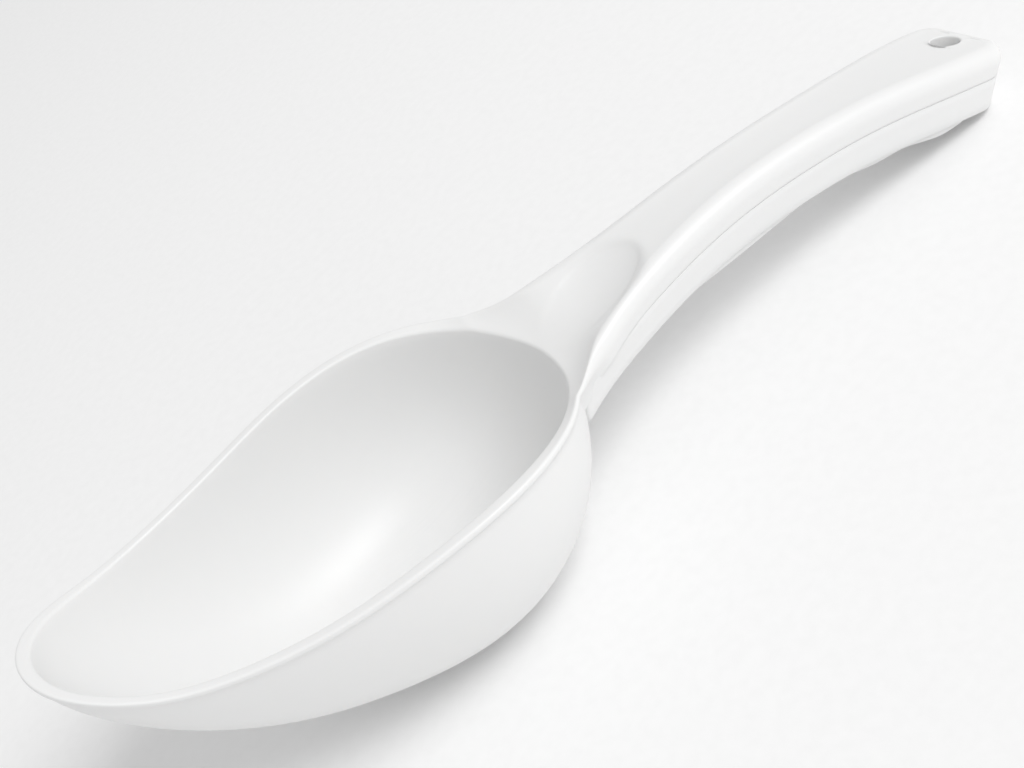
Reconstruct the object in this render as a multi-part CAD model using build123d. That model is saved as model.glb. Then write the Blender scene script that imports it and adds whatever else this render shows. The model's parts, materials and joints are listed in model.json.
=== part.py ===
from build123d import *
import os
from math import atan2, cos, degrees, pi, radians, sin

# Ice scoop: a deep bowl with a beaded rim and a hollow handle made of two shells.
# It is drawn in the rim frame: X runs from the bowl's tip to the handle's end, Y across, Z up from
# the line that joins the rim's two ends. Last, it is laid down as it lies on a table, on the bowl's
# belly and the handle's end. Lengths are in millimetres and angles in degrees.

# Bowl
BOWL_LENGTH = 135.0  # inside, along the rim
BOWL_WIDTH = 79.0  # inside, at the widest place
BOWL_DEPTH = 49.0  # inside, below the line that joins the rim's ends
BOWL_WALL = 2.6
DEEPEST_SHARE = 0.46  # how far along the bowl its deepest point lies
FRONT_FULLNESS = 1.5  # exponents of the curves from rim to bottom: 1 is straight, 2 is round
REAR_FULLNESS = 2.6
SIDE_FULLNESS = 2.7
TIP_TAPER = 0.283  # how much narrower the rim is towards the tip than towards the heel
TAPER_KEPT = 0.6  # share of that taper that is left at the bottom
RIM_FULLNESS = 0.12
HEEL_FULLNESS = 0.126
WALL_DRAFT = 0.05  # outward lean of the wall at the rim, millimetres per millimetre
BEAD_HEIGHT = 1.8
BEAD_STANDOUT = 0.5
RIM_RADIUS = 0.7
OUTLINE_POINTS = 36

# Handle
HANDLE_REACH = 152.0  # from the bowl's heel to the handle's end
HANDLE_HEIGHT = 16.0  # from the top to the lower edge of the side wall
END_WIDTH = 31.2
END_CORNER = 8.0
END_TILT = 23.0  # lean of the side walls and of the end face
SHOULDER_RADIUS = 4.0
# Plan of the handle up to its end: share of its reach past the heel, half-width
PLAN_LINE = [
    (-0.06, 27.3),
    (-0.02, 24.5),
    (0.02, 21.8),
    (0.1, 17.4),
    (0.2, 13.9),
    (0.36, 11.6),
    (0.52, 11.4),
    (0.72, 12.9),
    (0.86, 15.0),
]
ROOT_SLOPE = -0.7  # how the plan's sides turn in where they leave the bowl, across over along
TOP_WALL = 2.0
SIDE_WALL = 1.8
FLOOR_WALL = 2.2
SEAM_DROP = 7.8  # from the handle's top to the joint of its two shells

# Joints of the two shells
LIP_HEIGHT = 2.2
LIP_WALL = 1.1
LIP_ROOT = 3.0
SLIDE_GAP = 0.15  # side clearance wherever one piece slips into another

# Thumb rest
THUMB_LENGTH = 54.0
THUMB_WIDTH = 26.0
THUMB_DEPTH = 7.4
THUMB_SHARE = 0.035  # centre of the thumb rest, along the handle
THUMB_TILT = 14.0
THUMB_WALL = 2.2

# Hanging hole
HOLE_RADIUS = 3.9
HOLE_FROM_END = 9.0
HOLE_TILT = 15.0
TUBE_WALL = 1.5

# Finger grip
GRIP_START = 37.0  # from the bowl's heel
GRIP_GAP_TO_TUBE = 1.2
GRIP_INSET = 0.7
GRIP_POCKET = 0.9
GRIP_OVERRUN = 2.0  # how far the curve of the waves runs past the grip's ends
PEG_RADIUS = 2.0
PEG_LENGTH = 1.6  # past the floor of the lower shell
PEG_ROOT = 0.5  # how deep a peg starts inside the grip
PEG_SHARES = (0.2, 0.8)  # places of the two pegs along the grip
# Waves under the grip: share of the grip's length, and how far it stands out below the lower edge
GRIP_WAVES = [
    (0.0, 0.4),
    (0.13, 1.9),
    (0.31, 1.8),
    (0.45, 0.7),
    (0.58, 0.6),
    (0.7, 1.5),
    (0.78, 1.0),
    (0.92, 2.1),
    (1.0, 0.8),
]

# Side view of the top edge, tip to heel: share of the bowl's length, height above the rim line
RIM_LINE = [
    (-0.12, 4.4),
    (0.0, 0.0),
    (0.12, -5.0),
    (0.25, -6.4),
    (0.42, -4.2),
    (0.59, 0.3),
    (0.75, 3.0),
    (0.87, 3.5),
    (0.96, 4.0),
]
# The same edge along the handle: share of the handle's reach, height above the rim line
HANDLE_LINE = [
    (0.046, 7.8),
    (0.165, 12.8),
    (0.36, 18.8),
    (0.53, 21.0),
    (0.72, 20.8),
    (0.89, 18.8),
    (1.1, 15.0),
]
ABOVE = 60.0  # height that clears everything above the rim
OUT = 80.0  # distance that clears everything to the side
FINE = 0.05  # how closely the lowest points are found


def handle_x(share):
    """Place along the handle, from a share of its reach."""
    return BOWL_LENGTH + share * HANDLE_REACH


def mix(start, end, share):
    """Value at a share of the way from start to end."""
    return start + share * (end - start)


def top_points():
    """Points of the top edge in the side view, from the tip to past the handle's end."""
    rim = [(share * BOWL_LENGTH, height) for share, height in RIM_LINE]
    return rim + [(handle_x(share), height) for share, height in HANDLE_LINE]


def top_height(x):
    """Height of the top edge at x, read from its curve."""
    curve = Spline(*[(px, pz) for px, pz in top_points()])
    cutter = Line((x, -OUT), (x, OUT))
    return curve.intersect(cutter).vertices()[0].Y


def side_sheet(points):
    """A curve in the side view, as an edge in the XZ plane."""
    return Spline(*[(x, 0, z) for x, z in points])


def region_under(points, drop, floor):
    """Everything below the curve shifted down by drop, and above the floor."""
    shifted = [(x, z - drop) for x, z in points]
    first, last = shifted[0], shifted[-1]
    base = Polyline((last[0], 0, last[1]), (last[0], 0, floor), (first[0], 0, floor), (first[0], 0, first[1]))
    face = make_face([side_sheet(shifted), *base.edges()])
    return extrude(face, amount=OUT, dir=(0, 1, 0), both=True)


def rim_half_width(angle, taper):
    """Half-width of the rim, as a share, at an angle from 0 at the tip to pi at the heel."""
    along = cos(angle)
    return sin(angle) * (1 - taper * along + RIM_FULLNESS * along**2 + HEEL_FULLNESS * along**3)


def widest_share():
    """Largest half-width that rim_half_width gives, to scale the rim by."""
    return max(rim_half_width(pi * step / 200, TIP_TAPER) for step in range(201))


def shrink(depth_share, fullness):
    """How much an outline has shrunk at a share of the depth."""
    return (1 - depth_share**fullness) ** (1 / fullness)


def bowl_outline(depth_share, wall):
    """One closed outline round the bowl, at a share of its depth. A wall of 0 is the inside."""
    below = max(depth_share, 0.0)
    depth = BOWL_DEPTH + wall
    deepest = DEEPEST_SHARE * BOWL_LENGTH
    flare = max(-depth_share, 0.0) * depth * WALL_DRAFT
    front = deepest - (deepest + wall + flare) * shrink(below, FRONT_FULLNESS)
    rear = deepest + (BOWL_LENGTH + wall + flare - deepest) * shrink(below, REAR_FULLNESS)
    side = shrink(below, SIDE_FULLNESS)
    half = (BOWL_WIDTH / 2 + wall + flare) * side / widest_share()
    taper = TIP_TAPER * mix(TAPER_KEPT, 1.0, side)
    points = []
    for step in range(OUTLINE_POINTS):
        angle = 2 * pi * step / OUTLINE_POINTS
        x = front + (rear - front) * (1 - cos(angle)) / 2
        width = rim_half_width(angle, taper) if angle <= pi else -rim_half_width(2 * pi - angle, taper)
        points.append((x, half * width, -depth * depth_share))
    return Face(Wire(Spline(*points, periodic=True)))


def bowl_form(wall):
    """Solid of the bowl's inside (wall 0) or outside, from above the rim to the bottom."""
    shares = [-0.34, -0.17, 0.0, 0.16, 0.34, 0.52, 0.69, 0.83, 0.93, 0.98, 0.998]
    return loft([bowl_outline(share, wall) for share in shares])


def plan_widths(inset):
    """Half-widths of the handle along its length, seen from above."""
    return [(handle_x(share), half - inset) for share, half in PLAN_LINE]


def plan_prism(inset):
    """The handle's outline seen from above, carried down along the lean of its walls."""
    corner = END_CORNER - inset
    end_x = handle_x(1.0) - inset
    end_half = END_WIDTH / 2 - inset
    right = plan_widths(inset) + [(end_x - corner, end_half)]
    left = [(x, -y) for x, y in right]
    side_right = Spline(*right, tangents=[(1, ROOT_SLOPE), (1, 0)], tangent_scalars=[1, 1])
    side_left = Spline(*left, tangents=[(1, -ROOT_SLOPE), (1, 0)], tangent_scalars=[1, 1])
    arc_right = JernArc((end_x - corner, end_half), (1, 0), corner, -90)
    arc_left = JernArc((end_x - corner, -end_half), (1, 0), corner, 90)
    end = Line((end_x, end_half - corner), (end_x, corner - end_half))
    root = Line(left[0], right[0])
    face = make_face([side_right, side_left, arc_right, arc_left, end, root])
    lean = (-sin(radians(END_TILT)), 0, -cos(radians(END_TILT)))
    end_height = HANDLE_LINE[-1][1]
    rise = ABOVE / cos(radians(END_TILT))
    start = (rise * sin(radians(END_TILT)), 0, rise * cos(radians(END_TILT)) + end_height)
    return extrude(face.moved(Location(start)), amount=3 * ABOVE, dir=lean)


def handle_slab(top_drop, bottom_drop):
    """What lies between two copies of the top edge, each shifted down."""
    points = top_points()
    floor = -3 * ABOVE
    return region_under(points, top_drop, floor) - region_under(points, bottom_drop, floor - 1)


def behind(x):
    """Everything past x towards the handle's end."""
    return Pos(x + 2 * OUT, 0, 0) * Box(4 * OUT, 4 * OUT, 8 * OUT)


def thumb_form(drop):
    """The hollow for the thumb, as a stretched ball let into the neck."""
    centre = handle_x(THUMB_SHARE)
    ball = scale(Sphere(1), by=(THUMB_LENGTH / 2, THUMB_WIDTH / 2, THUMB_DEPTH))
    return Pos(centre, 0, top_height(centre) - drop) * Rot(0, -THUMB_TILT, 0) * ball


def hole_axis():
    """Place and direction of the hanging hole, at the handle's top."""
    centre = handle_x(1.0) - HOLE_FROM_END
    return Pos(centre, 0, top_height(centre)) * Rot(0, HOLE_TILT, 0)


def hole_rod(radius):
    """Rod along the hanging hole, longer than the handle is thick."""
    return hole_axis() * Cylinder(radius, 3 * HANDLE_HEIGHT)


def grip_ends():
    """Where the finger grip starts and ends along the handle."""
    centre = handle_x(1.0) - HOLE_FROM_END - HANDLE_HEIGHT * sin(radians(HOLE_TILT))
    tube = HOLE_RADIUS + TUBE_WALL
    return BOWL_LENGTH + GRIP_START, centre - tube - GRIP_GAP_TO_TUBE - SLIDE_GAP


def grip_region(gap):
    """Plan of the finger grip, widened by a gap for the pocket that holds it."""
    start, end = grip_ends()
    length = end - start + 2 * gap
    block = Pos((start + end) / 2, 0, 0) * Box(length, 4 * OUT, 8 * OUT)
    return plan_prism(GRIP_INSET - gap) & block


def grip_bottom():
    """Curve of the waves under the finger grip."""
    start, end = grip_ends()
    points = []
    for share, standout in GRIP_WAVES:
        x = mix(start, end, share)
        points.append((x, top_height(x) - HANDLE_HEIGHT - standout))
    before = (points[0][0] - GRIP_OVERRUN, points[0][1])
    after = (points[-1][0] + GRIP_OVERRUN, points[-1][1])
    return [before] + points + [after]


def peg_places():
    """Where the two pegs stand on the grip: place along the scoop, height."""
    start, end = grip_ends()
    places = [mix(start, end, share) for share in PEG_SHARES]
    return [(x, top_height(x) - HANDLE_HEIGHT + GRIP_POCKET) for x in places]


def make_handle_blank():
    """Both shells together, as one solid with rounded shoulders."""
    blank = plan_prism(0) & handle_slab(0, HANDLE_HEIGHT)
    top_face = blank.faces().sort_by(Axis.Z)[-1]
    root = top_face.edges().sort_by(Axis.X)[0]
    shoulders = [edge for edge in top_face.edges() if edge != root]
    return fillet(shoulders, SHOULDER_RADIUS)


def make_bowl(outer, inner):
    """The bowl's shell with its bead and rounded rim."""
    bead = bowl_form(BOWL_WALL + BEAD_STANDOUT) & handle_slab(0, BEAD_HEIGHT)
    shell = (outer & region_under(top_points(), 0, -3 * ABOVE)) + bead - inner
    land = shell.faces().sort_by(Axis.Z)[-1]
    return fillet(land.edges(), RIM_RADIUS)


def make_body(blank, outer, inner):
    """Bowl, bead, neck, thumb rest and upper half of the handle, in one moulding."""
    upper = blank & handle_slab(-1, SEAM_DROP)
    hollow = plan_prism(SIDE_WALL) & handle_slab(TOP_WALL, 2 * HANDLE_HEIGHT)
    thumb_end = handle_x(THUMB_SHARE) + THUMB_LENGTH / 2
    hollow = hollow & behind(thumb_end + TOP_WALL)
    cup = thumb_form(THUMB_WALL) & plan_prism(SIDE_WALL + SLIDE_GAP)
    cup = cup & handle_slab(0, HANDLE_HEIGHT - FLOOR_WALL - SLIDE_GAP)
    tube = hole_rod(HOLE_RADIUS + TUBE_WALL) & blank
    body = make_bowl(outer, inner) + (upper - hollow) + cup + tube
    return body - inner - thumb_form(0) - hole_rod(HOLE_RADIUS)


def make_lower_shell(blank):
    """Lower half of the handle, with a lip that slips inside the upper half."""
    lower = blank & handle_slab(SEAM_DROP, 2 * HANDLE_HEIGHT)
    hollow = plan_prism(SIDE_WALL) & handle_slab(0, HANDLE_HEIGHT - FLOOR_WALL)
    lip_outer = SIDE_WALL + SLIDE_GAP
    lip_ring = plan_prism(lip_outer) - plan_prism(lip_outer + LIP_WALL)
    lip_start = handle_x(THUMB_SHARE) + THUMB_LENGTH / 2 + TOP_WALL + SLIDE_GAP
    lip = lip_ring & handle_slab(SEAM_DROP - LIP_HEIGHT, SEAM_DROP + LIP_ROOT) & behind(lip_start)
    root_ring = plan_prism(SIDE_WALL / 2) - plan_prism(lip_outer + LIP_WALL)
    root = root_ring & handle_slab(SEAM_DROP, SEAM_DROP + LIP_ROOT) & behind(lip_start)
    shell = (lower - hollow) + lip + root
    shell = shell - bowl_form(BOWL_WALL + SLIDE_GAP) - hole_rod(HOLE_RADIUS + TUBE_WALL + SLIDE_GAP)
    pocket = grip_region(SLIDE_GAP) & handle_slab(HANDLE_HEIGHT - GRIP_POCKET, 2 * HANDLE_HEIGHT)
    shell = shell - pocket
    for x, z in peg_places():
        shell = shell - Pos(x, 0, z) * Cylinder(PEG_RADIUS + SLIDE_GAP, 4 * FLOOR_WALL)
    return shell


def make_finger_grip():
    """Strip under the handle with shallow waves for the fingers, held by two pegs."""
    waves = grip_bottom()
    strip = grip_region(0) & handle_slab(HANDLE_HEIGHT - GRIP_POCKET, 2 * HANDLE_HEIGHT)
    strip = strip - region_under(waves, 0, -3 * ABOVE)
    length = PEG_ROOT + FLOOR_WALL - GRIP_POCKET + PEG_LENGTH
    upright = (Align.CENTER, Align.CENTER, Align.MIN)
    for x, z in peg_places():
        strip = strip + Pos(x, 0, z - PEG_ROOT) * Cylinder(PEG_RADIUS, length, align=upright)
    return strip


def table_slope(belly, handle):
    """Angle of the line that touches the lowest points of the belly and of the handle."""
    foot = min(handle, key=lambda point: point.Z)
    for _ in range(8):
        rest = max(belly, key=lambda point: (foot.Z - point.Z) / (foot.X - point.X))
        foot = min(handle, key=lambda point: (point.Z - rest.Z) / (point.X - rest.X))
    return degrees(atan2(foot.Z - rest.Z, foot.X - rest.X))


def lie_down(shapes):
    """Where the pieces go from the rim frame, so that they lie on a table at height zero."""
    points = [point for shape in shapes for point in shape.tessellate(FINE, 0.1)[0]]
    belly = [point for point in points if point.X < BOWL_LENGTH]
    handle = [point for point in points if point.X > handle_x(0.5)]
    turn = Location((0, 0, 0), (0, table_slope(belly, handle), 0))
    laid = [(turn * Location(tuple(point))).position for point in points]
    middle = (min(point.X for point in laid) + max(point.X for point in laid)) / 2
    lowest = min(point.Z for point in laid)
    return Location((-middle, 0, -lowest)) * turn


def make_scoop():
    """All pieces in the rim frame, by node name."""
    blank = make_handle_blank()
    body = make_body(blank, bowl_form(BOWL_WALL), bowl_form(0))
    return {
        "scoop_body": body,
        "handle_lower_shell": make_lower_shell(blank),
        "finger_grip": make_finger_grip(),
    }


if __name__ == "__main__":
    scoop = make_scoop()
    laid = lie_down(scoop.values())
    os.makedirs("parts", exist_ok=True)
    for name, shape in scoop.items():
        export_step(shape.moved(laid), f"parts/{name}.step")
        print(name, round(shape.volume), shape.is_valid, len(shape.solids()))
    print("lies at", laid.position, laid.orientation)
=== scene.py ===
"""Looks of a moulded plastic ice scoop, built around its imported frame.

Shapes are worked out in millimetres in the rim frame: X from the bowl's tip to the handle's end, Y across,
Z up from the line that joins the rim's two ends. Each finished mesh is then turned and moved, in its
vertices, to the place where the frame's hanging hole says that the scoop lies.
"""

import json
import logging
import math
from dataclasses import dataclass, field
from functools import cached_property, lru_cache
from typing import Callable, Sequence

import bmesh
import bpy
import numpy as np
from bmesh.types import BMEdge, BMesh, BMFace, BMVert
from mathutils import Matrix, Vector


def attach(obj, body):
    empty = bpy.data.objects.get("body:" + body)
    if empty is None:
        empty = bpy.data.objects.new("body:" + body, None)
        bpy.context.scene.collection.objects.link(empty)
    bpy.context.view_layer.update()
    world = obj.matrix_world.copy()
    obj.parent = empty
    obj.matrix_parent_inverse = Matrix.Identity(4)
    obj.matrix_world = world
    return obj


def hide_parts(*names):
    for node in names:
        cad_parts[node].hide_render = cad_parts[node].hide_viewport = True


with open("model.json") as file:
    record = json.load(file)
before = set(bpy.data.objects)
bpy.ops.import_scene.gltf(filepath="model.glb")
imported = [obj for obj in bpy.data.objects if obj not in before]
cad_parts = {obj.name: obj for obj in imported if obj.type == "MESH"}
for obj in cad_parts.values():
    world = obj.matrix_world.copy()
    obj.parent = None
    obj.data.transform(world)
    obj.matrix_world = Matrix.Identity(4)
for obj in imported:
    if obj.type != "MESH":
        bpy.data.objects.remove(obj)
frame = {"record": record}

LOG = logging.getLogger("ice_scoop")
MM = 0.001


class SmoothLine:
    """A smooth curve of one value along X, through a few stations."""

    def __init__(self, stations: Sequence[tuple[float, float]]) -> None:
        """Solves the natural cubic spline through the stations.

        Args:
            stations: (x, value) pairs, in order of x.
        """
        self.x = [s[0] for s in stations]
        self.value = [s[1] for s in stations]
        gap = np.diff(self.x)
        slope = np.diff(self.value) / gap
        count = len(self.x)
        system = np.eye(count)
        right = np.zeros(count)
        for i in range(1, count - 1):
            system[i, i - 1 : i + 2] = gap[i - 1], 2 * (gap[i - 1] + gap[i]), gap[i]
            right[i] = 6 * (slope[i] - slope[i - 1])
        self.bend = np.linalg.solve(system, right).tolist()

    def at(self, x: float) -> float:
        """Value at x. Past either end the curve runs on straight.

        Args:
            x: the place along the line.

        Returns:
            The curve's value there.
        """
        inside = min(max(x, self.x[0]), self.x[-1])
        i = 0
        while i < len(self.x) - 2 and inside > self.x[i + 1]:
            i += 1
        gap = self.x[i + 1] - self.x[i]
        a = (self.x[i + 1] - inside) / gap
        b = 1 - a
        value = a * self.value[i] + b * self.value[i + 1]
        value += ((a**3 - a) * self.bend[i] + (b**3 - b) * self.bend[i + 1]) * gap**2 / 6
        if inside == x:
            return value
        slope = (self.value[i + 1] - self.value[i]) / gap
        slope += ((3 * b**2 - 1) * self.bend[i + 1] - (3 * a**2 - 1) * self.bend[i]) * gap / 6
        return value + slope * (x - inside)


def ease(share: float) -> float:
    """A share from 0 to 1, eased at both ends."""
    held = min(max(share, 0.0), 1.0)
    return held * held * (3 - 2 * held)


def mix(a: float, b: float, share: float) -> float:
    """The value at a share of the way from a to b."""
    return a + (b - a) * share


def soft_min(a: float, b: float, blend: float) -> float:
    """The lower of two heights, rounded over where they meet.

    Args:
        a: one height.
        b: the other height.
        blend: how far apart they are where the rounding starts.

    Returns:
        The rounded lower height.
    """
    near = max(blend - abs(a - b), 0.0) / blend
    return min(a, b) - near * near * blend / 4


@dataclass(frozen=True)
class BowlForm:
    """The bowl's inside and outside as one family of outlines, in millimetres."""

    length: float = 135.0
    width: float = 79.0
    depth: float = 49.0
    wall: float = 2.6
    deepest_share: float = 0.46
    front_fullness: float = 1.5
    rear_fullness: float = 2.6
    side_fullness: float = 2.7
    tip_taper: float = 0.283
    rim_fullness: float = 0.12
    heel_fullness: float = 0.126
    draft: float = 0.05
    widest: float = 1.0425

    def point(self, angle: float, share: float, wall: float) -> Vector:
        """A point of the bowl's surface.

        Args:
            angle: place round the outline, 0 at the tip and pi at the heel.
            share: share of the depth, below 0 above the rim line.
            wall: distance out from the inside.

        Returns:
            The point, in the rim frame.
        """
        below = max(share, 0.0)
        deepest = self.deepest_share * self.length
        flare = max(-share, 0.0) * (self.depth + wall) * self.draft
        front_shrink = (1 - below**self.front_fullness) ** (1 / self.front_fullness)
        rear_shrink = (1 - below**self.rear_fullness) ** (1 / self.rear_fullness)
        side_shrink = (1 - below**self.side_fullness) ** (1 / self.side_fullness)
        front = deepest - (deepest + wall + flare) * front_shrink
        rear = deepest + (self.length + wall + flare - deepest) * rear_shrink
        half = (self.width / 2 + wall + flare) * side_shrink / self.widest
        taper = self.tip_taper * (0.4 * side_shrink + 0.6)
        along = math.cos(angle)
        fullness = 1 - taper * along + self.rim_fullness * along**2 + self.heel_fullness * along**3
        x = front + (rear - front) * (1 - along) / 2
        return Vector((x, half * math.sin(angle) * fullness, -(self.depth + wall) * share))

    @lru_cache(maxsize=4096)
    def angle_at(self, y: float) -> float:
        """Angle, near the heel, at which the outer rim is y from the middle.

        Args:
            y: distance from the middle plane.

        Returns:
            The angle, between the widest place and the heel.
        """
        low, high = 0.6 * math.pi, math.pi
        for _ in range(30):
            middle = (low + high) / 2
            if self.point(middle, 0.0, self.wall).y > y:
                low = middle
            else:
                high = middle
        return high


@dataclass(frozen=True)
class ThumbRest:
    """The hollow for the thumb in the neck."""

    centre: float = 151.5
    length: float = 31.0
    width: float = 20.0
    depth: float = 2.4
    tilt: float = 0.36
    fullness: float = 0.8
    back_lip: float = 0.5
    front_lip: float = 2.0

    def floor(self, x: float, y: float, level: float) -> float:
        """Height of the hollow's floor.

        Args:
            x: place along the scoop.
            y: place across it.
            level: height of the neck's valley at the hollow's centre.

        Returns:
            The height there. Outside the oval it rises above the neck.
        """
        inside = 1 - ((x - self.centre) / (self.length / 2)) ** 2 - (y / (self.width / 2)) ** 2
        sunk = math.copysign(abs(inside) ** self.fullness, inside)
        return level + (x - self.centre) * self.tilt - self.depth * sunk

    def lip(self, x: float) -> float:
        """Rounding of the hollow's edge: crisp at its back and wide towards the bowl."""
        back = self.centre + self.length / 4
        return mix(self.back_lip, self.front_lip, ease((back - x) / (self.length / 2)))


@dataclass(frozen=True)
class HandleForm:
    """The handle's top line, plan and section, in millimetres."""

    heel: float = 135.0
    reach: float = 152.0
    height: float = 16.0
    corner: float = 8.0
    end_half: float = 15.6
    lean: float = math.tan(math.radians(23.0))
    lean_level: float = 15.0
    seam_drop: float = 7.8
    shoulder_reach: float = 4.6
    shoulder_drop: float = 4.0
    crown: float = 0.35
    valley_depth: float = 5.3
    valley_start: float = 95.0
    valley_run: float = 35.0
    valley_end_run: float = 32.0
    neck_start: float = 127.9
    neck_shoulder: float = 0.7
    neck_run: float = 19.0
    hole_radius: float = 3.9
    hole_from_end: float = 9.0
    hole_tilt: float = math.radians(15.0)
    tube_wall: float = 1.5
    thumb: ThumbRest = ThumbRest()
    top: SmoothLine = field(
        default_factory=lambda: SmoothLine(
            [
                (-16.2, 4.4), (0.0, 0.0), (16.2, -5.0), (33.75, -6.4),
                (56.7, -4.2), (79.65, 0.3), (101.25, 3.0), (117.45, 3.5),
                (129.6, 4.0), (142.0, 7.8), (160.1, 12.8), (189.7, 18.8),
                (215.6, 21.0), (244.4, 20.8), (270.3, 18.8), (302.2, 15.0),
            ]
        ),
        hash=False,
    )
    plan: SmoothLine = field(
        default_factory=lambda: SmoothLine(
            [
                (125.9, 27.3), (132.0, 24.5), (138.0, 21.8), (150.2, 17.4),
                (165.4, 13.9), (189.7, 11.6), (214.0, 11.4), (244.4, 12.9),
                (265.7, 15.0), (279.0, 15.6), (287.0, 15.6),
            ]
        ),
        hash=False,
    )

    @property
    def end(self) -> float:
        """Where the handle's outline ends."""
        return self.heel + self.reach

    def surface(self, x: float, y: float) -> float:
        """Height of the rim and of the handle's top, with the thumb rest let in.

        Args:
            x: place along the scoop.
            y: place across it.

        Returns:
            The height.
        """
        floor = self.thumb.floor(x, y, self.neck_level)
        return soft_min(self.top.at(x) - self.dip(x, y), floor, self.thumb.lip(x))

    @cached_property
    def neck_level(self) -> float:
        """Height of the neck's valley at the thumb rest's centre."""
        return self.top.at(self.thumb.centre) - self.dip(self.thumb.centre, 0.0)

    def dip(self, x: float, y: float) -> float:
        """How far the top lies below its top line, which only the shoulders reach.

        Args:
            x: place along the scoop.
            y: place across it.

        Returns:
            The depth of the valley that runs from the bowl's heel into the handle.
        """
        depth = self.valley_depth * ease((x - self.valley_start) / self.valley_run)
        if depth <= 0:
            return 0.0
        if x > self.heel:
            depth = mix(depth, self.crown, ease((x - self.heel) / self.valley_end_run))
        return depth * (1 - min(abs(y) / self.valley_half(x), 1.0) ** 3)

    @lru_cache(maxsize=65536)
    def valley_half(self, x: float) -> float:
        """Half-width of the valley: the rim's outside, and then the handle's shoulders."""
        if x < self.neck_start:
            along = 1 - 2 * (x + BOWL.wall) / (BOWL.length + 2 * BOWL.wall)
            return BOWL.point(math.acos(along), 0.0, BOWL.wall).y
        reach = mix(self.neck_shoulder, self.shoulder_reach, ease((x - self.neck_start) / self.neck_run))
        return self.plan.at(x) - reach

    def side_point(self, x: float, drop: float, straight: float = 1.0) -> tuple[float, float]:
        """Where a side wall's point lies, carried along the walls' lean.

        Args:
            x: place in the plan.
            drop: distance below the handle's top line.
            straight: share of the lean that the wall has there.

        Returns:
            The point's own place along the scoop, and its height.
        """
        own, level = x, 0.0
        for _ in range(4):
            level = self.top.at(own) - drop
            own = x + straight * (level - self.lean_level) * self.lean
        return own, level

    def hole_point(self, radius: float, angle: float, drop: float) -> Vector:
        """A point of a ring round the hanging hole's axis.

        Args:
            radius: the ring's radius.
            angle: place round the ring.
            drop: distance of the ring below the handle's top.

        Returns:
            The point, on a ring that follows the handle's slope.
        """
        x = self.end - self.hole_from_end - math.tan(self.hole_tilt) * drop + radius * math.cos(angle)
        return Vector((x, radius * math.sin(angle), self.top.at(x) - drop))


BOWL = BowlForm()
HANDLE = HandleForm()
BOWL_GAP = 0.15


def lying_place() -> Matrix:
    """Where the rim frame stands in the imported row, read from the hanging hole.

    Returns:
        The matrix from millimetres in the rim frame to metres in the row.
    """
    hole = next(m for m in frame["record"]["mounts"] if m["name"] == "hanging_hole")
    axis = Vector(hole["axis"])
    turn = Matrix.Rotation(math.atan2(axis.x, axis.z) - HANDLE.hole_tilt, 4, "Y")
    x = HANDLE.end - HANDLE.hole_from_end
    tilted = Vector((math.sin(HANDLE.hole_tilt), 0, math.cos(HANDLE.hole_tilt)))
    middle = Vector((x, 0, HANDLE.top.at(x))) - tilted * (HANDLE.height / 2)
    return Matrix.Translation(Vector(hole["pos_m"]) - turn @ middle * MM) @ turn @ Matrix.Scale(MM, 4)


PLACE = lying_place()


@dataclass
class Moulding:
    """One moulded piece: its name, the CAD node that it stands for and its material slot."""

    name: str
    node: str
    slot: str

    def publish(self, bm: BMesh, material: bpy.types.Material) -> bpy.types.Object:
        """Turns a finished bmesh into the scene's object for this piece.

        Args:
            bm: the piece in the rim frame, in millimetres. It is freed.
            material: the finish of the whole piece.

        Returns:
            The object, in place, riding on the row's body.
        """
        bmesh.ops.recalc_face_normals(bm, faces=bm.faces)
        if min(bm.faces, key=lambda face: face.calc_center_median().z).normal.z > 0:
            bmesh.ops.reverse_faces(bm, faces=bm.faces)
        bmesh.ops.transform(bm, matrix=PLACE, verts=bm.verts)
        mesh = bpy.data.meshes.new(self.name)
        bm.to_mesh(mesh)
        bm.free()
        mesh.polygons.foreach_set("use_smooth", [True] * len(mesh.polygons))
        mesh.materials.append(material)
        piece = bpy.data.objects.new(self.name, mesh)
        bpy.context.scene.collection.objects.link(piece)
        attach(piece, "root")
        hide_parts(self.node)
        LOG.info("%s: %d faces", self.name, len(mesh.polygons))
        return piece


class Tags:
    """Whole numbers kept on each vertex: its column, its row and its station."""

    def __init__(self, bm: BMesh) -> None:
        """Adds the three layers to a bmesh."""
        self.column = bm.verts.layers.int.new("column")
        self.row = bm.verts.layers.int.new("row")
        self.station = bm.verts.layers.int.new("station")

    def read(self, vert: BMVert) -> tuple[int, int, int]:
        """Column, row and station of a vertex."""
        return vert[self.column], vert[self.row], vert[self.station]

    def fits(self, face: BMFace, test: Callable[[int, int, int], bool]) -> bool:
        """Whether every corner of a face passes a test of its column, row and station."""
        return all(test(*self.read(vert)) for vert in face.verts)


def new_verts(result: dict) -> list[BMVert]:
    """The vertices that an extrusion made."""
    return [item for item in result["geom"] if isinstance(item, BMVert)]


def new_edges(result: dict) -> list[BMEdge]:
    """The edges that an extrusion made."""
    return [item for item in result["geom"] if isinstance(item, BMEdge)]


def new_faces(result: dict) -> list[BMFace]:
    """The faces that an extrusion made."""
    return [item for item in result["geom"] if isinstance(item, BMFace)]


def cut_window(bm: BMesh, faces: list[BMFace]) -> list[BMEdge]:
    """Takes a patch of faces out.

    Args:
        bm: the mesh.
        faces: the patch.

    Returns:
        The edges round the window that is left.
    """
    patch = set(faces)
    border = [e for f in faces for e in f.edges if any(other not in patch for other in e.link_faces)]
    bmesh.ops.delete(bm, geom=faces, context="FACES")
    return list(set(border))


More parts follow.
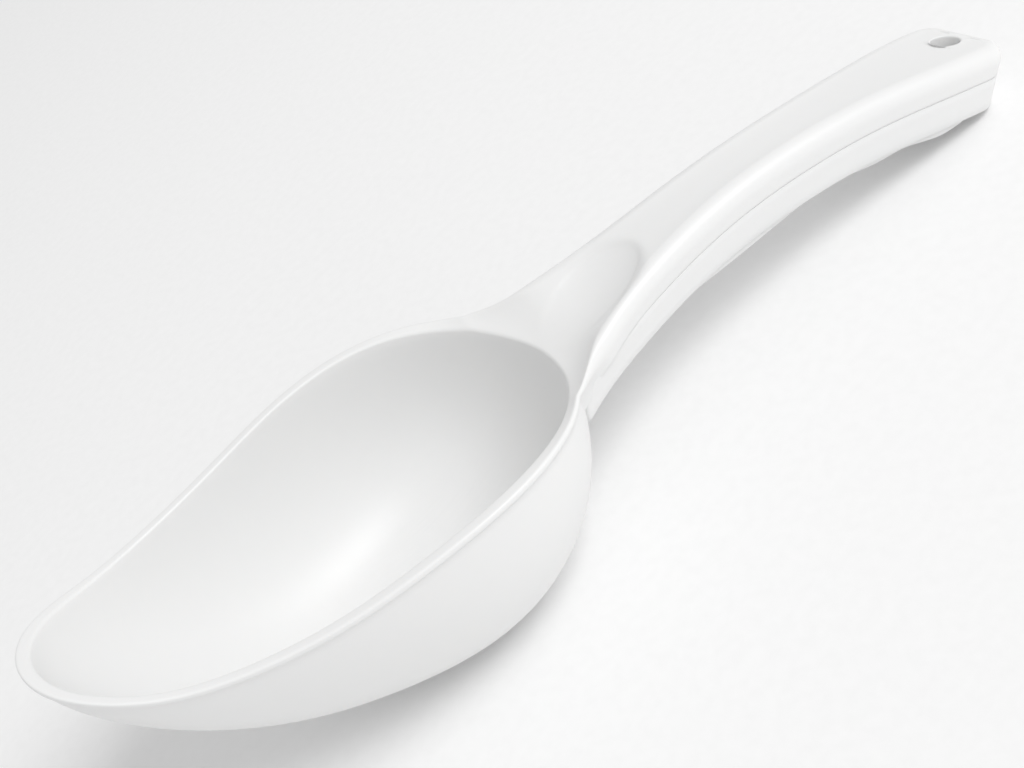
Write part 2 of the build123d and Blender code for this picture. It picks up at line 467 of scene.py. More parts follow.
def ring_round_hole(bm: BMesh, edges: list[BMEdge], radius: float, drop: float) -> list[BMEdge]:
    """Extrudes a border of edges onto a ring round the hanging hole.

    Args:
        bm: the mesh.
        edges: the border that the new ring grows from.
        radius: the ring's radius.
        drop: distance of the ring below the handle's top.

    Returns:
        The new ring's edges.
    """
    grown = bmesh.ops.extrude_edge_only(bm, edges=edges)
    centre = HANDLE.hole_point(0.0, 0.0, drop)
    for vert in new_verts(grown):
        angle = math.atan2(vert.co.y, vert.co.x - centre.x)
        vert.co = HANDLE.hole_point(radius, angle, drop)
    return new_edges(grown)


@dataclass
class ScoopBody(Moulding):
    """Bowl, beaded rim, neck, thumb rest and the upper half of the handle, in one moulding."""

    name: str = "scoop_body_moulding"
    node: str = "scoop_body"
    slot: str = "white_moulding"
    rear_columns: int = 40
    front_columns: int = 84
    wall_rows: int = 38
    edge_radius: float = 0.7
    arc_steps: int = 5
    rim_half: float = 26.6
    crease_half: float = 21.8
    bead_standout: float = 0.5
    neck_run: float = 27.0
    blend_run: float = 15.0
    spread_columns: int = 26
    top_wall: float = 2.2
    wall_columns: int = 5
    hollow_to_hole: float = 8.0
    seam_edge: float = 0.12
    hole_edge: float = 0.45
    hole_edge_steps: int = 4
    tube_chamfer: float = 0.2
    top_window: tuple[int, float] = (18, 5.6)
    under_window: tuple[int, float] = (16, 7.2)
    fine_step: float = 0.5
    long_step: float = 1.4
    end_steps: int = 10

    def __post_init__(self) -> None:
        """Works out the profiles and the stations that the methods share."""
        outside = BOWL.wall + self.bead_standout
        arc = [math.pi / 2 * i / self.arc_steps for i in range(self.arc_steps + 1)]
        turn = [(self.edge_radius * math.sin(a), self.edge_radius * (1 - math.cos(a))) for a in arc]
        self.rim_in = [(self.edge_radius - x, drop) for x, drop in reversed(turn)]
        self.rim_in += [(mix(self.edge_radius, outside - self.edge_radius, s), 0.0) for s in (0.35, 0.7)]
        self.rim_out = [(outside - self.edge_radius + x, drop) for x, drop in turn]
        self.rim_out += [(outside, 1.2), (outside, 1.6), (BOWL.wall + 0.15, 1.95), (BOWL.wall, 2.4)]
        self.rim_out += [(BOWL.wall, drop) for drop in (4.2, 6.0, 7.5, HANDLE.seam_drop)]
        self.last_row = len(self.rim_out) - 1
        self.half_ring = self.rear_columns + self.front_columns
        for _ in range(20):
            root = self.rim_point(self.rear_columns, *self.rim_out[0], self.rim_half)
            self.rim_half = HANDLE.plan.at(root.x) - self.edge_radius
        straight = HANDLE.end - HANDLE.corner
        fine_end = HANDLE.thumb.centre + HANDLE.thumb.length / 2 + 3
        crest = self.rim_point(0, *self.rim_out[0], self.rim_half).x
        fine = np.arange(crest, fine_end, self.fine_step)
        rest = np.linspace(fine_end, straight, round((straight - fine_end) / self.long_step))
        self.stations = [(float(x), 0.0) for x in [*fine, *rest]]
        turns = [math.pi / 2 * (i + 1) / self.end_steps for i in range(self.end_steps)]
        self.stations += [(straight, a) for a in turns]
        rear = range(self.rear_columns + 1)
        self.crest = [self.rim_point(c, *self.rim_out[0], self.rim_half) for c in rear]
        self.foot = [self.rim_point(c, *self.rim_out[-1], self.crease_half) for c in rear]
        self.side = [self.rim_point(self.rear_columns, *p, self.half_at(p[1])) for p in self.rim_out]

    def half_at(self, drop: float) -> float:
        """Half-width of the handle's root on the bowl's wall, at a distance below the rim."""
        return mix(self.rim_half, self.crease_half, ease(drop / HANDLE.seam_drop))

    def angle(self, column: int, root_half: float) -> float:
        """Place round the bowl of a column.

        Args:
            column: 0 at the heel, counted towards the tip.
            root_half: half-width that the handle's root has at this height.

        Returns:
            The angle, 0 at the tip and pi at the heel.
        """
        if column <= self.rear_columns:
            return BOWL.angle_at(round(root_half * column / self.rear_columns, 4))
        past = column - self.rear_columns
        root = BOWL.angle_at(round(self.rim_half, 4))
        shift = BOWL.angle_at(round(root_half, 4)) - root
        return root * (1 - past / self.front_columns) + shift * (1 - ease(past / self.spread_columns))

    def rim_point(self, column: int, outward: float, drop: float, root_half: float) -> Vector:
        """A point of the rim, on either side.

        Args:
            column: signed column.
            outward: distance out from the bowl's inside.
            drop: distance below the top line.
            root_half: half-width that the handle's root has there.

        Returns:
            The point.
        """
        angle = self.angle(abs(column), root_half)
        share = 0.0
        for _ in range(4):
            point = BOWL.point(angle, share, outward)
            share = (drop - HANDLE.surface(point.x, point.y)) / (BOWL.depth + outward)
        point = BOWL.point(angle, share, outward)
        return Vector((point.x, math.copysign(point.y, column), point.z))

    def wall_point(
        self, column: int, wall: float, edge: tuple[float, float], half: float, part: float
    ) -> Vector:
        """A point of the bowl's inner or outer wall.

        Args:
            column: signed column.
            wall: distance out from the bowl's inside.
            edge: outward distance and drop of the wall's upper edge.
            half: half-width that the handle's root has at that edge.
            part: 0 at the edge and 1 at the bottom.

        Returns:
            The point.
        """
        top_share = -self.rim_point(column, *edge, half).z / (BOWL.depth + wall)
        share = mix(top_share, 0.9998, math.sin(part * math.pi / 2))
        point = BOWL.point(self.angle(abs(column), half), share, wall)
        return Vector((point.x, math.copysign(point.y, column), point.z))

    def section(self, column: int, row: int, station: int) -> Vector:
        """A point round the handle's section, or on its end face.

        Args:
            column: signed column, outermost on the side walls.
            row: 0 on the top, the last row on the seam.
            station: number of the station along the handle.

        Returns:
            The point.
        """
        x, turn = self.stations[station]
        heel_x = self.crest[0].x
        straight = ease((x - heel_x) / self.neck_run)
        formed = ease((x - heel_x) / self.blend_run)
        reach = mix(self.edge_radius, HANDLE.shoulder_reach, formed)
        edge = self.rear_columns
        across = column / edge
        arc = min(row / self.arc_steps, 1.0) * math.pi / 2
        inset = reach * (1 - math.sin(arc))
        if row > self.arc_steps:
            part = (row - self.arc_steps) / (self.last_row - self.arc_steps - 1)
            drop = mix(HANDLE.shoulder_drop, HANDLE.seam_drop - self.seam_edge, min(part, 1.0))
        else:
            drop = HANDLE.shoulder_drop * (1 - math.cos(arc))
        if row == self.last_row:
            inset, drop = self.seam_edge, HANDLE.seam_drop

        def placed(plan_x: float, half: float, v: float) -> Vector:
            """A top point from its place in the plan, carried along the walls' lean."""
            sheared = plan_x + straight * (HANDLE.top.at(plan_x) - HANDLE.lean_level) * HANDLE.lean
            return Vector((sheared, v * half, HANDLE.surface(sheared, abs(v * half))))

        if turn:
            radius = HANDLE.corner - reach
            plan_x = x + radius * math.sin(turn)
            half = HANDLE.end_half - HANDLE.corner + radius * math.cos(turn)
            side_x = x + (HANDLE.corner - inset) * math.sin(turn)
            side_half = HANDLE.end_half - HANDLE.corner + (HANDLE.corner - inset) * math.cos(turn)
        else:
            bow = self.crest[0].x - self.crest[min(abs(column), edge)].x
            plan_x = x - bow * (1 - straight)
            edge_x = x - (self.crest[0].x - self.crest[edge].x) * (1 - straight)
            half = HANDLE.plan.at(edge_x) - reach
            side_x, side_half = edge_x, HANDLE.plan.at(edge_x) - inset
        if row == 0:
            return placed(plan_x, half, across)
        corner = placed(plan_x if turn else edge_x, half, 1.0)
        own_x, level = HANDLE.side_point(side_x, drop, straight)
        own = Vector((own_x, side_half, level))
        grown = corner + self.side[row] - self.side[0]
        point = grown.lerp(own, formed)
        if abs(column) < edge and row == self.last_row:
            root = self.foot[abs(column)] - self.foot[edge]
            point.x += root.x * (1 - straight)
            point.z += root.z * (1 - straight)
        return Vector((point.x, point.y * across, point.z))

    def build(self) -> BMesh:
        """Grows the whole moulding from the middle of the bowl's inside.

        Returns:
            The closed mesh, in the rim frame.
        """
        bm = bmesh.new()
        tags = Tags(bm)
        self.grow_bowl(bm, tags)
        self.grow_handle(bm, tags)
        self.hollow_handle(bm, tags)
        self.bore_hanging_hole(bm, tags)
        return bm

    def grow_bowl(self, bm: BMesh, tags: Tags) -> None:
        """Bowl: up the inside, over the rim and down the outside, ring by ring.

        Args:
            bm: the mesh that the bowl is made in.
            tags: its vertex layers.
        """
        count = 2 * self.half_ring
        fan = bmesh.ops.create_circle(bm, cap_ends=True, cap_tris=True, segments=count, radius=1.0)["verts"]
        hub = max(fan, key=lambda vert: len(vert.link_edges))
        spokes = [vert for vert in fan if vert is not hub]
        spokes.sort(key=lambda vert: math.atan2(vert.co.y, vert.co.x) % math.tau)
        for number, vert in enumerate(spokes):
            vert[tags.column] = number if number <= self.half_ring else number - count
            vert[tags.row] = -1
        hub.co = Vector((BOWL.deepest_share * BOWL.length, 0, -BOWL.depth))
        foot_edge = self.rim_out[-1]
        places = [
            lambda c, p=1 - i / self.wall_rows: self.wall_point(c, 0.0, self.rim_in[0], self.rim_half, p)
            for i in range(self.wall_rows)
        ]
        places += [lambda c, p=p: self.rim_point(c, *p, self.rim_half) for p in self.rim_in]
        places += [lambda c, p=p: self.rim_point(c, *p, self.half_at(p[1])) for p in self.rim_out]
        places += [
            lambda c, p=(i + 1) / self.wall_rows: self.wall_point(c, BOWL.wall, foot_edge, self.crease_half, p)
            for i in range(self.wall_rows)
        ]
        first_out = self.wall_rows + len(self.rim_in)
        for vert in spokes:
            vert.co = places[0](vert[tags.column])
        ring = [e for e in bm.edges if hub not in e.verts]
        for number, place in enumerate(places[1:], start=1):
            grown = bmesh.ops.extrude_edge_only(bm, edges=ring)
            ring = new_edges(grown)
            for vert in new_verts(grown):
                vert.co = place(vert[tags.column])
                vert[tags.row] = number - first_out
        grown = bmesh.ops.extrude_edge_only(bm, edges=ring)
        foot = Vector((hub.co.x, 0, -BOWL.depth - BOWL.wall))
        bmesh.ops.pointmerge(bm, verts=new_verts(grown), merge_co=foot)

    def grow_handle(self, bm: BMesh, tags: Tags) -> None:
        """Upper half of the handle: the patch behind the rim, drawn out station by station.

        Args:
            bm: the mesh that holds the bowl.
            tags: its vertex layers.
        """
        edge, last = self.rear_columns, self.last_row
        patch = [f for f in bm.faces if tags.fits(f, lambda c, r, s: abs(c) <= edge and 0 <= r <= last)]
        for station in range(1, len(self.stations)):
            grown = bmesh.ops.extrude_face_region(bm, geom=patch)
            bmesh.ops.delete(bm, geom=patch, context="FACES")
            patch = new_faces(grown)
            for vert in new_verts(grown):
                column, row, _ = tags.read(vert)
                vert[tags.station] = station
                if abs(column) == edge or row in (0, last):
                    vert.co = self.section(column, row, station)
        for vert in {v for f in patch for v in f.verts}:
            column, row, station = tags.read(vert)
            rim = self.section(edge, row, station)
            vert.co = Vector((rim.x, rim.y * column / edge, rim.z))

    def hollow_handle(self, bm: BMesh, tags: Tags) -> None:
        """Hollow of the handle's upper half, open towards the lower shell.

        Args:
            bm: the mesh that holds bowl and handle.
            tags: its vertex layers.
        """
        inner = self.rear_columns - self.wall_columns
        start, end = HANDLE.thumb.centre, HANDLE.end - HANDLE.hole_from_end - self.hollow_to_hole
        first = next(i for i, s in enumerate(self.stations) if s[0] > start)
        final = next(i for i, s in enumerate(self.stations) if s[0] > end)

        def under(column: int, row: int, station: int) -> bool:
            """Whether a corner lies on the underside, inside the side walls."""
            return abs(column) <= inner and row == self.last_row and first <= station <= final

        region = [f for f in bm.faces if tags.fits(f, under)]
        grown = bmesh.ops.extrude_face_region(bm, geom=region)
        bmesh.ops.delete(bm, geom=region, context="FACES")
        for vert in new_verts(grown):
            vert.co.z = HANDLE.surface(vert.co.x, abs(vert.co.y)) - self.top_wall
            vert[tags.row] = self.last_row + 1

    def bore_hanging_hole(self, bm: BMesh, tags: Tags) -> None:
        """Hanging hole through the top, with its tube down to the handle's underside.

        Args:
            bm: the mesh that holds bowl and handle.
            tags: its vertex layers.
        """
        last_station = len(self.stations) - 1
        radius, edge = HANDLE.hole_radius, self.hole_edge
        centre = HANDLE.end - HANDLE.hole_from_end
        loops = []
        for row, half, gap in ((0, *self.top_window), (self.last_row, *self.under_window)):
            near = next(i for i, s in enumerate(self.stations) if s[0] > centre - gap)

            def window(column: int, own_row: int, station: int) -> bool:
                """Whether a corner lies in the patch that the hole takes out."""
                return abs(column) <= half and own_row == row and near <= station <= last_station

            loops.append(cut_window(bm, [f for f in bm.faces if tags.fits(f, window)]))
        top, under = loops
        for step in range(self.hole_edge_steps + 1):
            arc = math.pi / 2 * step / self.hole_edge_steps
            top = ring_round_hole(bm, top, radius + edge * (1 - math.sin(arc)), edge * (1 - math.cos(arc)))
        for drop in (HANDLE.height / 2, HANDLE.height - edge):
            top = ring_round_hole(bm, top, radius, drop)
        under = ring_round_hole(bm, under, radius + HANDLE.tube_wall, HANDLE.seam_drop)
        under = ring_round_hole(bm, under, radius + HANDLE.tube_wall, HANDLE.height - self.tube_chamfer)
        under = ring_round_hole(bm, under, radius + HANDLE.tube_wall - self.tube_chamfer, HANDLE.height)
        under = ring_round_hole(bm, under, radius + edge, HANDLE.height)
        bmesh.ops.bridge_loops(bm, edges=top + under)


@dataclass
class HandleLowerShell(Moulding):
    """Lower half of the handle: a tray that closes the upper half, with a pocket for the finger grip."""

    name: str = "handle_lower_moulding"
    node: str = "handle_lower_shell"
    slot: str = "white_moulding"
    columns: int = 36
    root_stations: int = 14
    wall: float = 1.8
    long_step: float = 1.4
    end_steps: int = 10
    edge: float = 0.35
    pocket_depth: float = 0.9
    front_gap: float = 10.0
    floor_shift: float = 5.5
    chamfer: float = 0.1
    seam_edge: float = 0.12
    seam_gap: float = 0.01
    window_columns: int = 16
    tube_gap: float = 0.15

    def __post_init__(self) -> None:
        """Works out the stations along the tray."""
        straight = HANDLE.end - HANDLE.corner
        front = HANDLE.heel + self.front_gap
        self.stations = [(float(x), 0.0) for x in np.arange(front, straight, self.long_step)]
        self.stations += [(straight, math.pi / 2 * i / self.end_steps) for i in range(self.end_steps + 1)]

    def place(self, column: int, station: int, drop: float, inset: float) -> Vector:
        """A point of the tray.

        Args:
            column: signed column, outermost on the side walls.
            station: number of the station.
            drop: distance below the handle's top line.
            inset: distance in from the handle's side.

        Returns:
            The point. The first stations run a little way into the bowl's wall.
        """
        x, turn = self.stations[station]
        across = column / self.columns
        if turn:
            half = HANDLE.end_half - HANDLE.corner + (HANDLE.corner - inset) * math.cos(turn)
            own_x, level = HANDLE.side_point(x + (HANDLE.corner - inset) * math.sin(turn), drop)
            return Vector((own_x, half * across, level))
        own_x, level = HANDLE.side_point(x, drop)
        shear = own_x - x
        near = 1 - ease(station / self.root_stations)
        start = self.stations[0][0] + shear
        root = HANDLE.plan.at(self.stations[0][0])
        for _ in range(6):
            root = HANDLE.plan.at(self.bowl_wall(root, level) - shear) - inset
        edge_x = x + shear + (self.bowl_wall(root, level) - start) * near
        half = HANDLE.plan.at(edge_x - shear) - inset
        own_x = x + shear + (self.bowl_wall(root * abs(across), level) - start) * near
        return Vector((own_x, half * across, level))

    @staticmethod
    @lru_cache(maxsize=65536)
    def bowl_wall(y: float, level: float) -> float:
        """Where the bowl's outer wall stands, behind the handle's root, with the joint's gap."""
        wall = BOWL.wall + BOWL_GAP
        share = -level / (BOWL.depth + wall)
        low, high = 0.6 * math.pi, math.pi
        for _ in range(16):
            middle = (low + high) / 2
            low, high = (middle, high) if BOWL.point(middle, share, wall).y > y else (low, middle)
        return BOWL.point(high, share, wall).x

    def build(self) -> BMesh:
        """Makes the tray from its floor up.

        Returns:
            The closed mesh, in the rim frame.
        """
        bm = bmesh.new()
        tags = Tags(bm)
        across, along = 2 * self.columns, len(self.stations) - 1
        bmesh.ops.create_grid(bm, x_segments=along, y_segments=across, size=1.0)
        for vert in bm.verts:
            vert[tags.station] = round((vert.co.x + 1) / 2 * along)
            vert[tags.column] = round((vert.co.y + 1) / 2 * across) - self.columns
            vert.co = self.place(vert[tags.column], vert[tags.station], HANDLE.height, self.edge)
        self.press_pocket(bm, tags)
        self.raise_walls(bm, tags)
        self.open_for_tube(bm, tags)
        return bm

    def publish(self, bm: BMesh, material: bpy.types.Material) -> bpy.types.Object:
        """Publishes the tray and gives it a wall, clamped thinner than asked where edges are short.

        Args:
            bm: the open tray. It is freed.
            material: the finish.

        Returns:
            The object.
        """
        piece = super().publish(bm, material)
        wall = piece.modifiers.new("wall", "SOLIDIFY")
        wall.thickness = self.wall * MM
        wall.offset = -1.0
        wall.thickness_clamp = 1.0
        return piece

    def raise_walls(self, bm: BMesh, tags: Tags) -> None:
        """Side walls up to the seam, open towards the bowl.

        Args:
            bm: the mesh that holds the floor.
            tags: its vertex layers.
        """
        rim = [e for e in bm.edges if e.is_boundary and not all(v[tags.station] == 0 for v in e.verts)]
        seam = HANDLE.seam_drop
        foot = HANDLE.height - self.edge
        rises = [(HANDLE.height - self.chamfer, self.chamfer), (foot, 0.0)]
        rises += [(mix(foot, seam + self.seam_edge, s), 0.0) for s in (0.25, 0.5, 0.75, 1.0)]
        rises += [(seam + self.seam_gap, self.seam_edge)]
        for drop, inset in rises:
            grown = bmesh.ops.extrude_edge_only(bm, edges=rim)
            rim = new_edges(grown)
            for vert in new_verts(grown):
                vert.co = self.place(vert[tags.column], vert[tags.station], drop, inset)

    def press_pocket(self, bm: BMesh, tags: Tags) -> None:
        """Shallow pocket in the floor that the finger grip lies in.

        Args:
            bm: the mesh that holds the floor.
            tags: its vertex layers.
        """
        start, end = GRIP.reach
        flat = [(i, x - self.floor_shift) for i, (x, turn) in enumerate(self.stations) if not turn]
        held = [i for i, x in flat if start < x < end]
        inner = self.columns - 2

        def covered(column: int, row: int, station: int) -> bool:
            """Whether a corner lies over the finger grip."""
            return abs(column) <= inner and held[0] <= station <= held[-1]

        region = [f for f in bm.faces if tags.fits(f, covered)]
        grown = bmesh.ops.extrude_face_region(bm, geom=region)
        bmesh.ops.delete(bm, geom=region, context="FACES")
        for vert in new_verts(grown):
            vert.co.z += self.pocket_depth

    def open_for_tube(self, bm: BMesh, tags: Tags) -> None:
        """Round opening that the hanging hole's tube stands in.

        Args:
            bm: the mesh that holds the tray.
            tags: its vertex layers.
        """
        radius = HANDLE.hole_radius + HANDLE.tube_wall + self.tube_gap
        centre = HANDLE.hole_point(0.0, 0.0, HANDLE.height)

        def near_tube(face: BMFace) -> bool:
            """Whether a face of the floor lies where the tube comes through."""
            level = abs(face.calc_center_median().z - centre.z) < 2 and abs(face.normal.z) > 0.5
            return level and all(abs(v.co.x - centre.x) < radius + 1.0 for v in face.verts)

        middle = [f for f in bm.faces if tags.fits(f, lambda c, r, s: abs(c) <= self.window_columns)]
        window = [f for f in middle if near_tube(f)]
        ring_round_hole(bm, cut_window(bm, window), radius, HANDLE.height)


@dataclass
class FingerGrip(Moulding):
    """Strip under the handle, with shallow waves for the fingers and two pegs that hold it."""

    name: str = "finger_grip_moulding"
    node: str = "finger_grip"
    slot: str = "grip_moulding"
    start: float = 172.0
    tube_gap: float = 1.35
    inset: float = 0.7
    pocket_depth: float = 0.9
    edge: float = 0.5
    columns: int = 20
    step: float = 1.0
    peg_radius: float = 2.0
    peg_length: float = 2.6
    peg_shares: tuple[float, float] = (0.2, 0.8)
    peg_root: float = 0.4
    crown: float = 0.25
    floor_gap: float = 0.03
    sharp: float = math.radians(50)
    waves: SmoothLine = field(
        default_factory=lambda: SmoothLine(
            [
                (0.0, 0.4), (0.13, 1.9), (0.31, 1.8), (0.45, 0.7),
                (0.58, 0.6), (0.7, 1.5), (0.78, 1.0), (0.92, 2.1),
                (1.0, 0.8),
            ]
        )
    )

    @property
    def reach(self) -> tuple[float, float]:
        """Where the strip starts and ends along the handle."""
        tube = HANDLE.hole_radius + HANDLE.tube_wall + self.tube_gap
        return self.start, HANDLE.hole_point(0.0, 0.0, HANDLE.height).x - tube

    def build(self) -> BMesh:
        """Makes the strip and its pegs.

        Returns:
            The closed meshes, in the rim frame.
        """
        bm = bmesh.new()
        start, end = self.reach
        along, across = round((end - start) / self.step), 2 * self.columns
        bmesh.ops.create_grid(bm, x_segments=along, y_segments=across, size=1.0)
        floor = bm.faces[:]
        for vert in bm.verts:
            share = (vert.co.x + 1) / 2
            x = mix(start, end, share)
            level = HANDLE.top.at(x) - HANDLE.height
            plan_x = x - (level - HANDLE.lean_level) * HANDLE.lean
            half = HANDLE.plan.at(min(plan_x, HANDLE.end - HANDLE.corner)) - self.inset
            rise = self.crown * abs(vert.co.y) ** 4 - self.waves.at(share)
            vert.co = Vector((x, vert.co.y * half, level + rise))
        grown = bmesh.ops.extrude_face_region(bm, geom=floor, use_keep_orig=True)
        for vert in new_verts(grown):
            vert.co.z = HANDLE.top.at(vert.co.x) - HANDLE.height + self.pocket_depth - self.floor_gap
        bmesh.ops.recalc_face_normals(bm, faces=bm.faces)
        edges = [e for e in bm.edges if e.is_manifold and e.calc_face_angle() > self.sharp]
        bmesh.ops.bevel(
            bm, geom=edges, offset=self.edge, segments=3, profile=0.5,
            affect="EDGES", material=-1, clamp_overlap=True,
        )
        for share in self.peg_shares:
            x = mix(start, end, share)
            top = HANDLE.top.at(x) - HANDLE.height + self.pocket_depth
            place = Matrix.Translation((x, 0, top - self.peg_root + self.peg_length / 2))
            bmesh.ops.create_cone(bm, cap_ends=True, cap_tris=False, segments=32, radius1=self.peg_radius,
                                  radius2=self.peg_radius, depth=self.peg_length, matrix=place)
        return bm


GRIP = FingerGrip()


class NodeSheet:
    """Shader nodes of one material, laid out as they are added."""

    def __init__(self, name: str) -> None:
        """Starts a material with only its Principled shader and output."""
        self.material = bpy.data.materials.new(name)
        self.material.use_nodes = True
        self.tree = self.material.node_tree
        self.shader = self.tree.nodes["Principled BSDF"]
        self.place = self.add("ShaderNodeTexCoord").outputs["Object"]

    def add(self, kind: str, **settings: object) -> bpy.types.Node:
        """Adds a node and sets its properties or its input sockets by name.

        Args:
            kind: the node's Blender type.
            settings: property names, or input names with _ for a space.

        Returns:
            The node.
        """
        node = self.tree.nodes.new(kind)
        for name, value in settings.items():
            if hasattr(node, name):
                setattr(node, name, value)
            else:
                self.feed(node.inputs[name.replace("_", " ")], value)
        return node

    def feed(self, socket: bpy.types.NodeSocket, value: object) -> None:
        """Links an output to a socket, or sets the socket's own value."""
        if isinstance(value, bpy.types.NodeSocket):
            self.tree.links.new(value, socket)
        else:
            socket.default_value = value

    def noise(
        self, scale: float, detail: float = 2.0, stretch: Sequence[float] = (1, 1, 1)
    ) -> bpy.types.NodeSocket:
        """Noise on Object coordinates.

        Args:
            scale: features in a metre.
            detail: octaves.
            stretch: scale of each axis.

        Returns:
            The noise's value, about 0 to 1.
        """
        mapping = self.add("ShaderNodeMapping", Vector=self.place, Scale=stretch)
        node = self.add("ShaderNodeTexNoise", Vector=mapping.outputs[0], Scale=scale, Detail=detail)
        return node.outputs[0]

    def spread(
        self, value: bpy.types.NodeSocket, old: Sequence[float], new: Sequence[float]
    ) -> bpy.types.NodeSocket:
        """Carries a value from one range to another, held at its ends."""
        node = self.add("ShaderNodeMapRange", Value=value)
        for number, limit in enumerate([*old, *new], start=1):
            node.inputs[number].default_value = limit
        return node.outputs[0]

    def blend(self, factor: object, a: object, b: object) -> bpy.types.NodeSocket:
        """Mixes two colours, or outputs, by a factor."""
        node = self.add("ShaderNodeMix", data_type="RGBA")
        for place, value in (("Factor", factor), (6, a), (7, b)):
            self.feed(node.inputs[place], value)
        return node.outputs[2]

    def maths(self, operation: str, a: object, b: object) -> bpy.types.NodeSocket:
        """Result of one sum on two values or outputs."""
        node = self.add("ShaderNodeMath", operation=operation)
        self.feed(node.inputs[0], a)
        self.feed(node.inputs[1], b)
        return node.outputs[0]


@dataclass(frozen=True)
class MouldedPlastic:
    """White polypropylene as it leaves the mould and after some use."""

    name: str
    colour: tuple[float, float, float]
    shade: tuple[float, float, float]
    roughness: float
    grain_scale: float
    grain_height: float
    wave_height: float = 0.00006
    smear: float = 0.08
    wear_roughness: float = 0.16
    scratch_height: float = 0.00001
    worn_below: float = 0.012

    def material(self) -> bpy.types.Material:
        """Builds the material: cloudy colour, fine mould texture, sink waves and rubbed low spots.

        Returns:
            The material.
        """
        sheet = NodeSheet(self.name)
        shader = sheet.shader
        cloud = sheet.noise(16.0, 3.0)
        fleck = sheet.noise(420.0, 2.0)
        tone = sheet.maths("ADD", sheet.maths("MULTIPLY", cloud, 0.8), sheet.maths("MULTIPLY", fleck, 0.2))
        clouded = sheet.blend(sheet.spread(tone, (0.1, 0.9), (0.0, 1.0)), (*self.colour, 1), (*self.shade, 1))
        height = sheet.add("ShaderNodeSeparateXYZ", Vector=sheet.place).outputs["Z"]
        low = sheet.spread(height, (0.0, self.worn_below), (1.0, 0.0))
        hair = sheet.noise(260.0, 5.0, (0.25, 9.0, 1.0))
        scuff = sheet.maths("MULTIPLY", low, sheet.spread(hair, (0.5, 0.62), (0.0, 1.0)))
        rubbed = (*(0.9 * c for c in self.shade), 1)
        worn = sheet.blend(sheet.maths("MULTIPLY", scuff, 0.15), clouded, rubbed)
        sheet.feed(shader.inputs["Base Color"], worn)
        limits = (self.roughness - self.smear, self.roughness + self.smear)
        smear = sheet.spread(sheet.noise(45.0, 2.0), (0.0, 1.0), limits)
        rough = sheet.maths("ADD", smear, sheet.maths("MULTIPLY", scuff, self.wear_roughness))
        sheet.feed(shader.inputs["Roughness"], rough)
        sink = sheet.noise(38.0, 1.0)
        waves = sheet.add("ShaderNodeBump", Strength=0.5, Distance=self.wave_height, Height=sink)
        grain = sheet.add("ShaderNodeBump", Strength=0.6, Distance=self.grain_height,
                          Height=sheet.noise(self.grain_scale, 2.0), Normal=waves.outputs[0])
        scratch = sheet.add("ShaderNodeBump", Strength=0.6, Distance=self.scratch_height, Height=scuff,
                            Normal=grain.outputs[0])
        sheet.feed(shader.inputs["Normal"], scratch.outputs[0])
        shader.inputs["IOR"].default_value = 1.49
        shader.inputs["Subsurface Weight"].default_value = 0.12
        shader.inputs["Subsurface Radius"].default_value = (1.0, 0.95, 0.9)
        shader.inputs["Subsurface Scale"].default_value = 0.002
        return sheet.material


GLOSS_WHITE = MouldedPlastic(
    name="white_gloss_moulding",
    colour=(0.86, 0.86, 0.855),
    shade=(0.83, 0.832, 0.832),
    roughness=0.38,
    grain_scale=2600.0,
    grain_height=0.000004,
)
SATIN_WHITE = MouldedPlastic(
    name="white_satin_moulding",
    colour=(0.84, 0.84, 0.835),
    shade=(0.8, 0.802, 0.802),
    roughness=0.44,
    grain_scale=1500.0,
    grain_height=0.00003,
)


@dataclass(frozen=True)
class SoftLight:
    """One rectangular studio light, aimed at the scoop."""

    name: str
    place: tuple[float, float, float]
    size: float
    power: float

    def build(self, aim: Vector) -> None:
        """Hangs the light.

        Args:
            aim: the point that it faces.
        """
        data = bpy.data.lights.new(self.name, "AREA")
        data.shape = "SQUARE"
        data.size = self.size
        data.energy = self.power
        lamp = bpy.data.objects.new(self.name, data)
        lamp.location = self.place
        lamp.rotation_euler = (aim - lamp.location).to_track_quat("-Z", "Y").to_euler()
        bpy.context.scene.collection.objects.link(lamp)


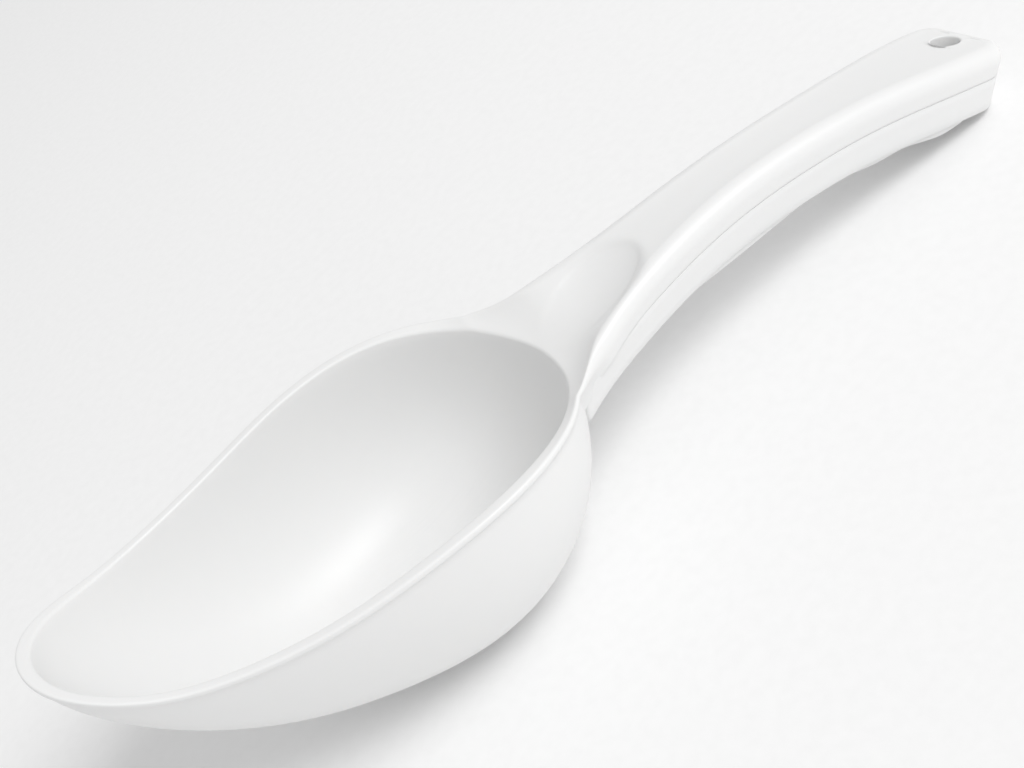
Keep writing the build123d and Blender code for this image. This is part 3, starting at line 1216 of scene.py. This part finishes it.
@dataclass
class Studio:
    """Pale floor, soft light and the camera."""

    floor_size: float = 6.0
    world_strength: float = 0.58
    view_azimuth: float = math.radians(-23.2)
    view_elevation: float = math.radians(35.12)
    view_roll: float = math.radians(-17.98)
    view_distance: float = 316.65
    view_aim: tuple[float, float, float] = (124.68, 0.0, -3.63)
    focal_length: float = 45.7
    lights: tuple[SoftLight, ...] = (
        SoftLight("key_light", (1.35, -1.3, 2.3), 1.6, 46.0),
        SoftLight("fill_light", (-0.9, -2.2, 1.0), 1.5, 3.0),
    )

    def build(self) -> None:
        """Sets floor, lights, sky and camera up."""
        self.lay_floor()
        for light in self.lights:
            light.build(Vector((0, 0, 0.03)))
        world = bpy.data.worlds.new("studio_sky")
        world.use_nodes = True
        sky = world.node_tree.nodes["Background"]
        sky.inputs["Color"].default_value = (1, 1, 1, 1)
        sky.inputs["Strength"].default_value = self.world_strength
        bpy.context.scene.world = world
        bpy.context.scene.view_settings.view_transform = "Standard"
        self.set_camera()

    def lay_floor(self) -> None:
        """Plain pale floor under the scoop."""
        bm = bmesh.new()
        bmesh.ops.create_grid(bm, x_segments=1, y_segments=1, size=self.floor_size / 2)
        mesh = bpy.data.meshes.new("studio_floor")
        bm.to_mesh(mesh)
        bm.free()
        sheet = NodeSheet("studio_paper")
        tone = sheet.spread(sheet.noise(300.0, 3.0), (0.3, 0.7), (0.93, 0.95))
        paper = sheet.add("ShaderNodeCombineColor", Red=tone, Green=tone, Blue=tone)
        sheet.feed(sheet.shader.inputs["Base Color"], paper.outputs[0])
        sheet.shader.inputs["Roughness"].default_value = 0.9
        sheet.shader.inputs["Specular IOR Level"].default_value = 0.1
        mesh.materials.append(sheet.material)
        floor = bpy.data.objects.new("studio_floor", mesh)
        bpy.context.scene.collection.objects.link(floor)

    def set_camera(self) -> None:
        """Camera, placed in the rim frame and carried to the row with the scoop."""
        azimuth, elevation = self.view_azimuth, self.view_elevation
        flat = math.cos(elevation)
        back = Vector((math.sin(azimuth) * flat, -math.cos(azimuth) * flat, math.sin(elevation)))
        level = Vector((math.cos(azimuth), math.sin(azimuth), 0))
        right = math.cos(self.view_roll) * level + math.sin(self.view_roll) * back.cross(level)
        turn = Matrix((right, back.cross(right), back)).transposed()
        place = PLACE @ (Vector(self.view_aim) + back * self.view_distance)
        row_turn = PLACE.to_3x3().normalized() @ turn
        data = bpy.data.cameras.new("studio_camera")
        data.lens = self.focal_length
        data.sensor_width = 36.0
        data.clip_start = 0.01
        camera = bpy.data.objects.new("studio_camera", data)
        camera.matrix_world = Matrix.Translation(place) @ row_turn.to_4x4()
        bpy.context.scene.collection.objects.link(camera)
        bpy.context.scene.camera = camera


def main() -> None:
    """Builds the scoop's pieces, dresses them and sets the studio up around them."""
    logging.basicConfig(level=logging.INFO, format="%(name)s: %(message)s")
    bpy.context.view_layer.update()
    gloss, satin = GLOSS_WHITE.material(), SATIN_WHITE.material()
    for piece, finish in ((ScoopBody(), gloss), (HandleLowerShell(), gloss), (GRIP, satin)):
        piece.publish(piece.build(), finish)
    Studio().build()
    LOG.info("studio ready")


if __name__ == "__main__":
    main()
